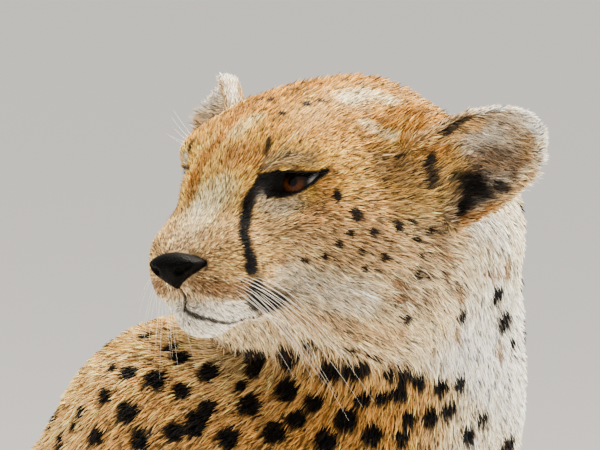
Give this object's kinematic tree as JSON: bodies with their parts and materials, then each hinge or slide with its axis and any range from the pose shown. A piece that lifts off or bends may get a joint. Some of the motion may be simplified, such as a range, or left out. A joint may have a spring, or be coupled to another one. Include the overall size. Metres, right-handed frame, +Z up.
{
  "type": "sitting cheetah",
  "caption": "Life-size cheetah sitting upright on its haunches, head turned to look back over its right shoulder, tail curled round its left side",
  "frame": {"origin": "the point of the floor under the middle of the seat", "axes": "+X the way the trunk faces, +Y the animal's left, +Z up, the floor at Z = 0"},
  "size_m": [0.6502, 0.4723, 0.8269],
  "materials": {
    "coat": "short dense fur, tawny with black spots",
    "pale_coat": "longer cream fur with small dark spots",
    "nose_skin": "bare moist black skin",
    "eye": "wet, dark amber",
    "claw": "dark horn"
  },
  "bodies": {
    "root": {"claw_fore_left_1": "claw", "claw_fore_left_2": "claw", "claw_fore_left_3": "claw", "claw_fore_left_4": "claw", "claw_fore_right_1": "claw", "claw_fore_right_2": "claw", "claw_fore_right_3": "claw", "claw_fore_right_4": "claw", "claw_hind_left_1": "claw", "claw_hind_left_2": "claw", "claw_hind_left_3": "claw", "claw_hind_left_4": "claw", "claw_hind_right_1": "claw", "claw_hind_right_2": "claw", "claw_hind_right_3": "claw", "claw_hind_right_4": "claw", "ear_left": "coat", "ear_right": "coat", "eye_left": "eye", "eye_right": "eye", "forearm_left": "coat", "forearm_right": "coat", "forepaw_left": "coat", "forepaw_right": "coat", "head": "coat", "hind_foot_left": "coat", "hind_foot_right": "coat", "neck": "pale_coat", "nose": "nose_skin", "tail_end": "coat", "tail_middle": "coat", "tail_root": "coat", "thigh_left": "coat", "thigh_right": "coat", "trunk": "coat", "upper_arm_left": "coat", "upper_arm_right": "coat"}
  },
  "joints": []
}
